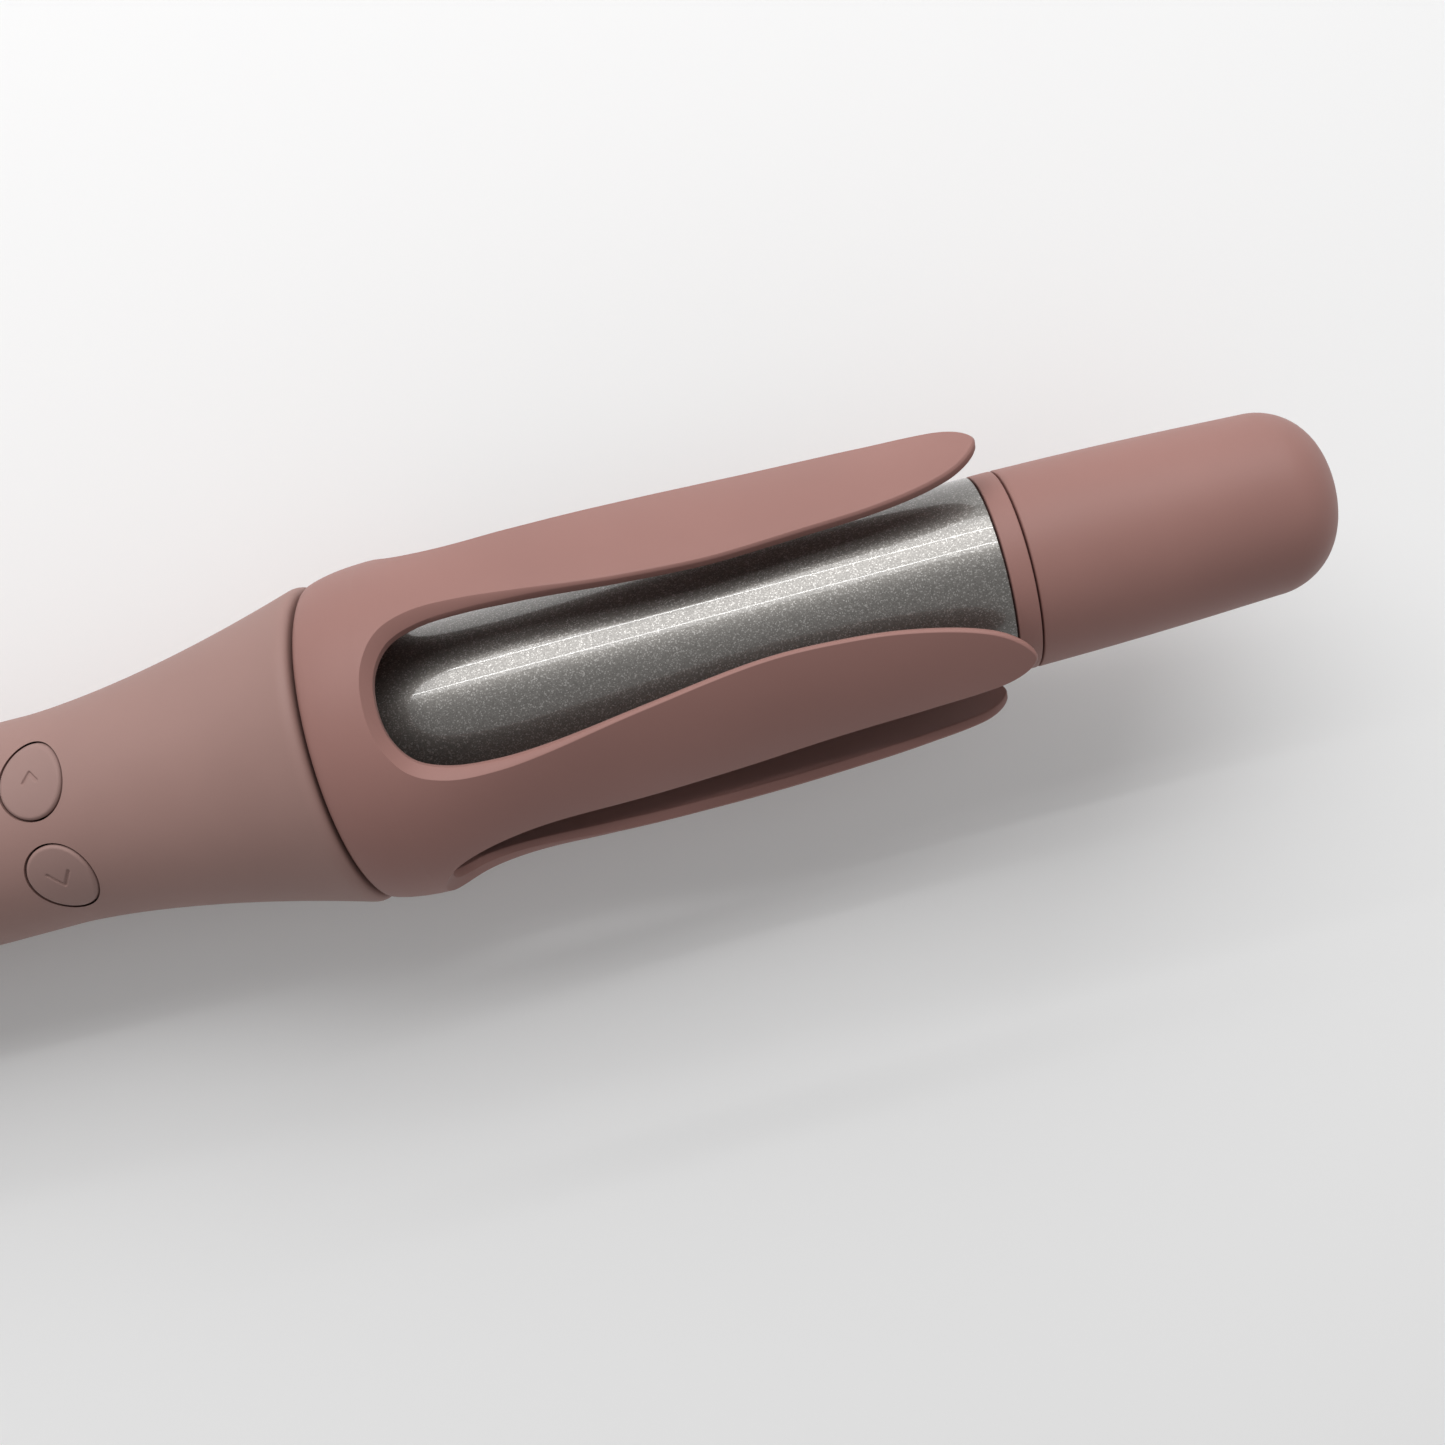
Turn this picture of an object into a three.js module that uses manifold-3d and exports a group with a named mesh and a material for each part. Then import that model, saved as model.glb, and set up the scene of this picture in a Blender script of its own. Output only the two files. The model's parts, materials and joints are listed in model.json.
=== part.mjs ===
// Automatic curling iron: a heated barrel that stands still inside a turning cage of four long petals.
// Millimetres. Device frame: +X runs along the barrel to the cool tip, +Z is the button side, and
// x = 0 is the running joint between the handle's lip and the cage. The finished device lies on the
// cage's ring and on the heel of the handle, so the whole device is tilted a little about Y.
import * as THREE from "three";
import { mergeVertices } from "three/addons/utils/BufferGeometryUtils.js";
import Module from "manifold-3d";

const wasm = await Module();
wasm.setup();

// ---- driving dimensions ----
const GAP = 0.3; // between pieces that meet
const RUN = 0.15; // radial clearance of turning fits
const BARREL = { radius: 16, wall: 1.1, start: 4.8, end: 105.2 };
const TIP = { start: 109.3, end: 158.8, endRadius: 14.6, round: 9.8, wall: 2.4 };
const COLLAR = { start: 105.5, end: 109.0 };
const HANDLE = { waist: 17.4, flare: 9.2, flareStart: -50, heel: -163, swell: 0.3, wall: 2.2, lip: 26.0 };
const FLARE_POWER = 1.6; // how late the handle opens out
const CAP = { end: -168, round: 2.4, faceRadius: 14.6, spigot: 14.4, bore: 9.4, counterbore: 11.5 };
const RIM = { start: 0.3, floorFront: 3.2, floorInner: 12, widest: 10, radius: 27.2 };
const PETALS = 4;
const WINDOW_TURN = 13.9; // degrees from +Z towards +Y to the middle of the first window
const FLAT_RADIUS = 25; // radius on which the window outline is drawn flat
const GEAR = {
  module: 0.8, ringTeeth: 36, pinionTeeth: 12, pressure: 20, start: -8.8, end: -3.4, play: 0.09,
};
const HUB = {
  rimRadius: 17.2, flange: 21.2, sleeve: 7.4, bore: 5.4, rear: -2.6, front: 4.6, screwCircle: 19.3,
};
const DRIVE_OFFSET = (GEAR.module * (GEAR.ringTeeth - GEAR.pinionTeeth)) / 2;
const SPINDLE = { radius: 3.5, bore: 2.4, rear: -17.6, front: 16 };
const PLATE = { rear: -17.6, front: -14.6, radius: 19.4 };
const BOARD = { low: 8.0, high: 9.6, rear: -128, front: -35, neck: -57, halfWidth: 7.3, wideHalf: 9.8 };
const TRAVEL = 0.8; // how far each button goes in
const CASE_SCREWS = { xs: [-66, -138], y: 11.1, boss: 3.2, shank: 1.0, head: 1.9, headDepth: 9.4 };

// ---- materials ----
const finish = (color, roughness, metalness = 0) =>
  new THREE.MeshStandardMaterial({ color, roughness, metalness });
const MATERIALS = {
  handle_plastic: () => finish(0xae918a, 0.55),
  cage_plastic: () => finish(0xad8780, 0.5),
  button_rubber: () => finish(0xa58a84, 0.7),
  barrel_coating: () => finish(0xb3ada6, 0.3, 0.9),
  black_plastic: () => finish(0x1d1c1d, 0.5),
  display_glass: () => finish(0x0c0c0e, 0.1),
  board: () => finish(0x1f5a35, 0.6),
  steel: () => finish(0xb9bbbd, 0.35, 1),
  brass: () => finish(0xc6a04c, 0.35, 1),
  aluminium: () => finish(0xc8cacc, 0.4, 1),
  acetal: () => finish(0xe8e6df, 0.45),
  insulator: () => finish(0x3a3735, 0.7),
  lead_sleeve: () => finish(0xe7e2d8, 0.8),
};

// ---- geometry helpers ----
const rad = THREE.MathUtils.degToRad;
const steps = (from, to, count) =>
  Array.from({ length: count + 1 }, (_, i) => from + ((to - from) * i) / count);

function manifoldOf(positions, triangles) {
  return new wasm.Manifold(
    new wasm.Mesh({ numProp: 3, vertProperties: positions, triVerts: new Uint32Array(triangles.flat()) }),
  );
}

// A closed three.js geometry as a solid with its faces pointing out.
function solidOf(geometry) {
  const bare = new THREE.BufferGeometry().setAttribute("position", geometry.getAttribute("position"));
  bare.setIndex(geometry.index);
  const merged = mergeVertices(bare, 1e-4);
  const triangles = [];
  for (let i = 0; i < merged.index.count; i += 3) {
    const [a, b, c] = merged.index.array.slice(i, i + 3);
    if (a !== b && b !== c && c !== a) triangles.push([a, b, c]);
  }
  const made = manifoldOf(merged.attributes.position.array, triangles);
  if (made.volume() > 0) return made;
  return manifoldOf(merged.attributes.position.array, triangles.map(([a, b, c]) => [a, c, b]));
}

function geometryOf(solid) {
  const mesh = solid.getMesh();
  const geometry = new THREE.BufferGeometry();
  geometry.setAttribute("position", new THREE.Float32BufferAttribute(mesh.vertProperties, 3));
  geometry.setIndex(new THREE.Uint32BufferAttribute(mesh.triVerts, 1));
  const flat = geometry.toNonIndexed();
  flat.computeVertexNormals();
  return flat;
}

const union = (first, ...others) => others.reduce((sum, other) => sum.add(other), first);
const cut = (first, ...others) => others.reduce((rest, other) => rest.subtract(other), first);

// A closed outline of [x, radius] points turned about the X axis.
function revolve(outline, segments = 48) {
  const points = outline.map(([x, r]) => new THREE.Vector2(r, x));
  points.push(points[0].clone());
  return solidOf(new THREE.LatheGeometry(points, segments).rotateZ(-Math.PI / 2));
}

const ring = (x0, x1, inner, outer, segments) =>
  revolve([[x0, inner], [x1, inner], [x1, outer], [x0, outer]], segments);

const rodX = (radius, x0, x1, y = 0, z = 0, sides = 16) => {
  const rod = new THREE.CylinderGeometry(radius, radius, x1 - x0, sides);
  return solidOf(rod.rotateZ(-Math.PI / 2).translate((x0 + x1) / 2, y, z));
};

const rodZ = (radius, z0, z1, x, y = 0, sides = 16) => {
  const rod = new THREE.CylinderGeometry(radius, radius, z1 - z0, sides);
  return solidOf(rod.rotateX(Math.PI / 2).translate(x, y, (z0 + z1) / 2));
};

const block = (x0, x1, y0, y1, z0, z1) => {
  const box = new THREE.BoxGeometry(x1 - x0, y1 - y0, z1 - z0);
  return solidOf(box.translate((x0 + x1) / 2, (y0 + y1) / 2, (z0 + z1) / 2));
};

// A flat shape in the XY plane, extruded from z0 to z1.
const prismZ = (shape, z0, z1) => {
  const options = { depth: z1 - z0, bevelEnabled: false, curveSegments: 8 };
  return solidOf(new THREE.ExtrudeGeometry(shape, options).translate(0, 0, z0));
};

function oval(x, y, rx, ry) {
  const shape = new THREE.Shape();
  shape.absellipse(x, y, rx, ry, 0, 2 * Math.PI);
  return shape;
}

function pill(x, y, halfLength, halfWidth) {
  const shape = new THREE.Shape();
  shape.absarc(x + halfLength - halfWidth, y, halfWidth, -Math.PI / 2, Math.PI / 2);
  shape.absarc(x - halfLength + halfWidth, y, halfWidth, Math.PI / 2, (3 * Math.PI) / 2);
  return shape;
}

// A smooth curve y(x) through [x, y] points.
function through(points) {
  const slope = (i) => {
    const [a, b] = [points[Math.max(i - 1, 0)], points[Math.min(i + 1, points.length - 1)]];
    return (b[1] - a[1]) / (b[0] - a[0]);
  };
  return (x) => {
    const next = points.findIndex((p) => p[0] > x);
    const i = next < 0 ? points.length - 2 : Math.max(0, next - 1);
    const [[x0, y0], [x1, y1]] = [points[i], points[i + 1]];
    const w = x1 - x0;
    const t = THREE.MathUtils.clamp((x - x0) / w, 0, 1);
    const [t2, t3] = [t * t, t * t * t];
    const near = (2 * t3 - 3 * t2 + 1) * y0 + (t3 - 2 * t2 + t) * w * slope(i);
    return near + (3 * t2 - 2 * t3) * y1 + (t3 - t2) * w * slope(i + 1);
  };
}

// ---- handle ----
function handleRadius(x) {
  if (x > HANDLE.flareStart) return HANDLE.waist + HANDLE.flare * (1 - x / HANDLE.flareStart) ** FLARE_POWER;
  const along = (HANDLE.flareStart - x) / (HANDLE.flareStart - HANDLE.heel);
  return HANDLE.waist + HANDLE.swell * Math.sin(Math.PI * along);
}

// The hollow handle before it is split: flared at the front, with a rounded lip.
function handleTube() {
  const stations = [...steps(HANDLE.heel, HANDLE.flareStart, 3), ...steps(-42, -2.6, 6)];
  const outer = stations.map((x) => [x, handleRadius(x)]);
  const lip = [[-1.4, HANDLE.lip], [-0.65, 25.75], [-GAP, 25.1]];
  const flareInside = [-12, -25, -38].map((x) => [x, handleRadius(x) - HANDLE.wall]);
  const inner = [[-GAP, 22.8], [-4, 22.8], ...flareInside];
  const bore = HANDLE.waist - HANDLE.wall;
  return revolve([...outer, ...lip, ...inner, [HANDLE.flareStart, bore], [HANDLE.heel, bore]], 48);
}

const BUTTONS = {
  left_button: { shape: (grow) => oval(-44.5, 7.55, 5.05 + grow, 5.5 + grow), x: -44.5, y: 7 },
  right_button: { shape: (grow) => oval(-44.5, -7.55, 5.05 + grow, 5.5 + grow), x: -44.5, y: -7 },
  temp_up_button: { shape: (grow) => oval(-98, 0, 3.6 + grow, 3.6 + grow), x: -98, y: 0 },
  temp_down_button: { shape: (grow) => oval(-108, 0, 3.6 + grow, 3.6 + grow), x: -108, y: 0 },
  power_button: { shape: (grow) => oval(-119, 0, 4.2 + grow, 4.2 + grow), x: -119, y: 0 },
};
const LENS = { x: -82, halfLength: 9, halfWidth: 4.6, inset: 0.1 };
const BOARD_SCREWS = [-61, -124.5];

// The room inside the handle that posts and bosses may fill.
const handleRoom = () => revolve([[-150, 0], [-20, 0], [-20, 16.4], [-150, 16.4]], 24);

const eachCaseScrew = (make) =>
  CASE_SCREWS.xs.flatMap((x) => [-1, 1].map((side) => make(x, side * CASE_SCREWS.y)));

function upperShell() {
  const cavity = handleRoom();
  const boardPosts = BOARD_SCREWS.map((x) => rodZ(2.3, BOARD.high + GAP, 17, x, 0, 16).intersect(cavity));
  const caseBosses = eachCaseScrew((x, y) => rodZ(CASE_SCREWS.boss, GAP / 2, 14, x, y, 12).intersect(cavity));
  const holes = [
    ...Object.values(BUTTONS).map((b) => prismZ(b.shape(0.35), 2, 30)),
    prismZ(pill(LENS.x, 0, LENS.halfLength + GAP, LENS.halfWidth + GAP), 10, 30),
    ...BOARD_SCREWS.map((x) => rodZ(0.9, 8, 14.5, x, 0, 10)),
    ...eachCaseScrew((x, y) => rodZ(CASE_SCREWS.shank + 0.25, -1, 6.5, x, y, 10)),
  ];
  const half = handleTube().intersect(block(-200, 20, -40, 40, GAP / 2, 40));
  return cut(union(half, ...boardPosts, ...caseBosses), ...holes);
}

function lowerShell() {
  const cavity = handleRoom();
  const boss = (x, y) => rodZ(CASE_SCREWS.boss, -14, -GAP / 2, x, y, 12).intersect(cavity);
  const half = handleTube().intersect(block(-200, 20, -40, 40, -40, -GAP / 2));
  const hole = (x, y) => rodZ(CASE_SCREWS.shank + 0.25, -20, 1, x, y, 10);
  const recess = (x, y) => rodZ(CASE_SCREWS.head + GAP, -30, -CASE_SCREWS.headDepth, x, y, 12);
  return cut(union(half, ...eachCaseScrew(boss)), ...eachCaseScrew(hole), ...eachCaseScrew(recess));
}

function screwZ(shank, head, headZ, tipZ, x, y) {
  const up = Math.sign(tipZ - headZ);
  const under = headZ + up * 1.4;
  const span = (a, b) => [Math.min(a, b), Math.max(a, b)];
  const headRod = rodZ(head, ...span(headZ, under), x, y, 12);
  return union(headRod, rodZ(shank, ...span(headZ + up * 0.7, tipZ), x, y, 8));
}

function screwX(shank, head, headX, tipX, y, z) {
  const ahead = Math.sign(tipX - headX);
  const span = (a, b) => [Math.min(a, b), Math.max(a, b)];
  const headRod = rodX(head, ...span(headX, headX + ahead * 1.3), y, z, 12);
  return union(headRod, rodX(shank, ...span(headX + ahead * 0.7, tipX), y, z, 8));
}

// A button cap follows the handle's surface, a little proud of it, with a stem down to its switch.
function buttonCap({ shape, x, y }, proud) {
  const skin = revolve(
    [...steps(x - 7, x + 7, 4).map((s) => [s, handleRadius(s) + proud]), [x + 7, 15], [x - 7, 15]],
    64,
  );
  const cap = prismZ(shape(0), 4, 30).intersect(skin);
  return union(cap, rodZ(1.4, BOARD.high + 2.8, 15.6, x, y, 10));
}

const displayLens = () => {
  const face = steps(-96, -68, 2).map((x) => [x, handleRadius(x) - LENS.inset]);
  const skin = revolve([...face, [-68, 15.6], [-96, 15.6]], 64);
  return prismZ(pill(LENS.x, 0, LENS.halfLength, LENS.halfWidth), 10, 30).intersect(skin);
};

function controlBoard() {
  const outline = union(
    block(BOARD.rear, BOARD.neck + 1, -BOARD.halfWidth, BOARD.halfWidth, BOARD.low, BOARD.high),
    block(BOARD.neck, BOARD.front, -BOARD.wideHalf, BOARD.wideHalf, BOARD.low, BOARD.high),
  );
  return cut(outline, ...BOARD_SCREWS.map((x) => rodZ(1.1, 6, 12, x, 0, 10)));
}

const tactSwitch = ({ x, y }) =>
  union(
    block(x - 2.2, x + 2.2, y - 2.2, y + 2.2, BOARD.high + GAP, BOARD.high + 1.3),
    rodZ(1.1, BOARD.high + 1, BOARD.high + 1.8, x, y, 10),
  );

// ---- cord swivel at the heel ----
function endCap() {
  const shoulder = CAP.end + CAP.round;
  const arc = steps(0, 90, 3).map((a) => [
    shoulder - CAP.round * Math.cos(rad(90 - a)),
    CAP.faceRadius + (HANDLE.waist - CAP.faceRadius) * Math.cos(rad(a)),
  ]);
  return revolve([
    ...arc.reverse(),
    [HANDLE.heel - GAP, HANDLE.waist],
    [HANDLE.heel - GAP, CAP.spigot],
    [HANDLE.heel + 8, CAP.spigot],
    [HANDLE.heel + 8, CAP.counterbore],
    [HANDLE.heel + 1, CAP.counterbore],
    [HANDLE.heel + 1, CAP.bore],
    [CAP.end, CAP.bore],
  ], 40);
}

const swivelGland = () =>
  revolve([
    [-166.6, 3.6],
    [-144, 3.6],
    [-144, 5.6],
    [-159.3, 5.6],
    [-159.3, 11.1],
    [-161.7, 11.1],
    [-161.7, 9.1],
    [-166.6, 9.1],
  ], 24);

const glandRetainer = () => ring(-158.9, -156.6, 6.2, 11.2, 24);
const slipRing = (x) => ring(x, x + 2.2, 5.9, 7.0, 24);

// A bent leaf from the board's underside to just above a slip ring.
function contactSpring(ringStart, y) {
  const touch = ringStart + 1.1;
  const under = [[-124, 7.2], [-133, 7.2], [touch + 2, 8.2], [touch, 7.35], [touch - 2.5, 8.2]];
  const above = under.map(([x, z]) => [x, z + 0.4]).reverse();
  const leaf = new THREE.Shape([...under, ...above].map(([x, z]) => new THREE.Vector2(x, z)));
  const strip = new THREE.ExtrudeGeometry(leaf, { depth: 2.4, bevelEnabled: false });
  return solidOf(strip.rotateX(Math.PI / 2).translate(0, y + 1.2, 0));
}

// ---- drive ----
const toothAngle = (teeth) => Math.PI / (2 * teeth);
const involute = (angle) => Math.tan(angle) - angle;

// Outline of a spur gear, or of the hole of a ring gear, whose teeth are thicker by 2 x play.
function gearShape(teeth, innerRadius, outerRadius, play) {
  const pitch = (GEAR.module * teeth) / 2;
  const base = pitch * Math.cos(rad(GEAR.pressure));
  const half = toothAngle(teeth) + play / pitch + involute(rad(GEAR.pressure));
  const radii = [Math.max(base, innerRadius), outerRadius];
  const flank = radii.map((r) => [r, half - involute(Math.acos(base / r))]);
  if (innerRadius < base) flank.unshift([innerRadius, flank[0][1]]);
  const tooth = [...flank.map(([r, a]) => [r, -a]), ...flank.reverse()];
  const turned = (r, angle) => new THREE.Vector2(r * Math.cos(angle), r * Math.sin(angle));
  const turns = Array.from({ length: teeth }, (_, i) => (2 * Math.PI * i) / teeth);
  return turns.flatMap((turn) => tooth.map(([r, a]) => turned(r, a + turn)));
}

// A flat shape drawn across the axis, extruded along +X. Its x becomes -Z and its y becomes +Y.
const alongX = (shape, x0, x1) =>
  solidOf(
    new THREE.ExtrudeGeometry(shape, { depth: x1 - x0, bevelEnabled: false, curveSegments: 24 })
      .rotateY(Math.PI / 2)
      .translate(x0, 0, 0),
  );

function cageHub() {
  const rim = new THREE.Shape().absarc(0, 0, HUB.rimRadius, 0, 2 * Math.PI);
  const pitch = (GEAR.module * GEAR.ringTeeth) / 2;
  rim.holes.push(new THREE.Path(gearShape(GEAR.ringTeeth, pitch - 0.4, pitch + 1.0, GEAR.play)));
  const body = revolve([
    [HUB.rear, HUB.bore],
    [HUB.front, HUB.bore],
    [HUB.front, HUB.sleeve],
    [0, HUB.sleeve],
    [0, HUB.flange],
    [HUB.rear, HUB.flange],
  ], 36);
  const holes = HUB_SCREWS.map(([y, z]) => rodX(1.0, -4, 2, y, z, 10));
  return cut(union(body, alongX(rim, -9.4, -2.2)), ...holes);
}

const HUB_SCREWS = steps(0, 3, 3).map((i) => {
  const angle = rad(WINDOW_TURN + 45 + 90 * i);
  return [HUB.screwCircle * Math.sin(angle), HUB.screwCircle * Math.cos(angle)];
});

function drivePinion() {
  const pitch = (GEAR.module * GEAR.pinionTeeth) / 2;
  const teeth = new THREE.Shape(gearShape(GEAR.pinionTeeth, pitch - 1.0, pitch + 0.7, -GEAR.play));
  const shaft = rodX(1.5, -17.7, GEAR.start + 1);
  return union(alongX(teeth, GEAR.start, GEAR.end), shaft).translate([0, 0, -DRIVE_OFFSET]);
}

function gearPlate() {
  const disc = ring(PLATE.rear, PLATE.front, SPINDLE.radius + GAP, PLATE.radius, 32);
  return cut(
    disc,
    rodX(2.2, PLATE.rear - 1, PLATE.front + 1, 0, -DRIVE_OFFSET),
    ...MOTOR_SCREWS.map((y) => rodX(1.1, PLATE.rear - 1, PLATE.front + 1, y, -DRIVE_OFFSET, 12)),
  );
}

const MOTOR_SCREWS = [-3.8, 3.8];

function gearbox() {
  const can = rodX(5.4, -30, PLATE.rear - GAP, 0, -DRIVE_OFFSET, 24);
  return cut(can, ...MOTOR_SCREWS.map((y) => rodX(1.0, -23, -10, y, -DRIVE_OFFSET, 12)));
}

function driveMotor() {
  const can = rodX(5.1, -49, -30.3, 0, -DRIVE_OFFSET, 24);
  const boss = rodX(2, -50.2, -48.5, 0, -DRIVE_OFFSET, 16);
  return union(can, boss);
}

const spindleTube = () =>
  revolve([
    [SPINDLE.rear, SPINDLE.bore],
    [SPINDLE.front, SPINDLE.bore],
    [SPINDLE.front, SPINDLE.radius],
    [6.7, SPINDLE.radius],
    [6.7, 3.1],
    [5.9, 3.1],
    [5.9, SPINDLE.radius],
    [-12.3, SPINDLE.radius],
    [-12.3, 6.6],
    [PLATE.front + GAP, 6.6],
    [PLATE.front + GAP, SPINDLE.radius],
    [SPINDLE.rear, SPINDLE.radius],
  ], 24);

const hubBush = () => ring(-2.4, 4.8, SPINDLE.radius + RUN, 5.1, 24);
const thrustWasher = () => ring(5.1, 5.6, SPINDLE.radius + RUN, 6.4, 24);

// An open spring ring that sits in the spindle's groove.
function retainingClip() {
  return cut(ring(5.95, 6.6, 3.3, 5.6, 24), block(5, 8, -1.6, 1.6, -9, 0));
}

function spindleNut() {
  const corner = (i) => new THREE.Vector2(6 * Math.cos((i * Math.PI) / 3), 6 * Math.sin((i * Math.PI) / 3));
  const hex = new THREE.Shape(steps(0, 5, 5).map(corner));
  return cut(alongX(hex, 13.2, 15.6), rodX(SPINDLE.radius + GAP, 12, 17, 0, 0, 24));
}

// ---- heated barrel ----
const barrel = () => ring(BARREL.start, BARREL.end, BARREL.radius - BARREL.wall, BARREL.radius, 48);

const barrelBase = () =>
  revolve([[7.2, SPINDLE.radius + GAP], [12.9, SPINDLE.radius + GAP], [12.9, 14.6], [7.2, 14.6]], 24);

function heaterCarrier(side) {
  const edge = Math.asin(1.9 / 14.4);
  const half = new THREE.Shape();
  half.absarc(0, 0, 14.4, edge, Math.PI - edge);
  return alongX(half, 20, 95).rotate([side > 0 ? 0 : 180, 0, 0]);
}

const heaterPlate = () => block(27, 89, -1.5, 1.5, -8, 8);
const thermistor = () => rodX(0.9, 50, 56, 0, 10.5, 12);

function heaterLead(side) {
  const route = [[-36, 0.9, 6.6], [-30, 0.9, 5.6], [-22, 0.9, 0.6], [-17, 0.9, 0], [26.5, 0.9, 0]];
  const path = new THREE.CatmullRomCurve3(route.map(([x, y, z]) => new THREE.Vector3(x, side * y, z)));
  const section = new THREE.Shape().absarc(0, 0, 0.6, 0, 2 * Math.PI);
  return solidOf(new THREE.ExtrudeGeometry(section, { steps: 10, curveSegments: 3, extrudePath: path }));
}

// ---- tip ----
const tipCollar = () => ring(COLLAR.start, COLLAR.end, 12.2, BARREL.radius, 40);

const tipPlug = () =>
  revolve([[97, 8], [118, 8], [118, 11.9], [104.9, 11.9], [104.9, 14.6], [97, 14.6]], 24);

function coolTip() {
  const centre = [TIP.end - TIP.round, TIP.endRadius - TIP.round];
  const nose = steps(0, 90, 4).map((a) => [
    centre[0] + TIP.round * Math.sin(rad(a)),
    centre[1] + TIP.round * Math.cos(rad(a)),
  ]);
  return revolve([
    [TIP.start, 15.7],
    [TIP.start + 0.4, BARREL.radius],
    [TIP.start + 12, 15.75],
    [TIP.start + 25, 15.3],
    ...nose,
    [TIP.end, 0],
    [TIP.end - 4, 0],
    [TIP.end - 4, 5],
    [TIP.end - 9, 11],
    [TIP.start + 28, 12.6],
    [TIP.start, BARREL.radius - TIP.wall - 0.6],
  ], 40);
}

// ---- petal cage ----
// Outer radius and wall thickness along the cage.
const cageOuter = through([
  [0.3, 25.1], [0.75, 25.75], [1.6, 26.15], [5, 26.85], [10, 27.2], [18, 26.95], [26, 26.4], [40, 25.6],
  [55, 24.7], [65, 24.15], [75, 23.8], [90, 23.6], [98, 23.9], [105.8, 24.6],
]);
const cageWall = through([[0.3, 2.2], [3.2, 3.0], [12, 3.2], [26, 2.6], [50, 1.9], [105.8, 1.7]]);

// A petal's section: how far it is flattened from the circle towards its own chord, how steeply it leans
// (radius gained per radian from its near edge to its far edge), and how many degrees it sweeps round.
const PETAL_FLAT = { amount: 0.35, from: 11.3, to: 42 };
const PETAL_LEAN = { amount: 0.155, from: 11.3, to: 34 };
const eased = ({ amount, from, to }, x) => amount * THREE.MathUtils.smoothstep(x, from, to);
const petalSweep = through([
  [0.3, 0], [11.3, 0], [30, 0.9], [48, 1.9], [60, 3.2], [72, 4.8], [84, 4.8], [105.8, 2.5],
]);

// One side of a window from its round root to where two petal tips meet it, as [x, half width on the flat].
const WINDOW_SIDE = [
  [11.3, 0], [12.1, 5.2], [14.6, 9.1], [19, 11.2], [26, 12.1], [34, 11.9], [50, 10.3], [64.7, 9.35],
  [79, 10.0], [88, 10.9], [97.4, 12.9], [101.9, 14.8], [104.8, 17.4],
  [105.8, (FLAT_RADIUS * Math.PI) / PETALS],
];
const CHAMFER = { root: 2.5, side: 0.4, rootDepth: 2.7, sideDepth: 0.4, fade: [12, 26], inner: 0.4 };

// The window's side as a smooth run of points with the direction into the petal's material.
function windowEdge(count) {
  const mirrored = (centre, [x, s]) => [x, 2 * centre - s];
  const last = WINDOW_SIDE.length - 1;
  const points = [
    mirrored(0, WINDOW_SIDE[1]),
    ...WINDOW_SIDE,
    mirrored(WINDOW_SIDE[last][1], WINDOW_SIDE[last - 1]),
  ].map(([x, s]) => new THREE.Vector3(x, s, 0));
  const curve = new THREE.CatmullRomCurve3(points, false, "centripetal");
  const at = (t) => curve.getPoint((1 + t) / (points.length - 1));
  const across = new THREE.Vector3(0, 1, 0); // both ends of the edge lie square to the axis
  const along = (t) => (t === 0 || t === last ? across : at(t + 0.01).sub(at(t - 0.01)).normalize());
  return steps(0, last, count).map((t) => {
    const [p, d] = [at(t), along(t)];
    return { x: p.x, s: p.y, nx: -d.y, ns: d.x };
  });
}

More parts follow.
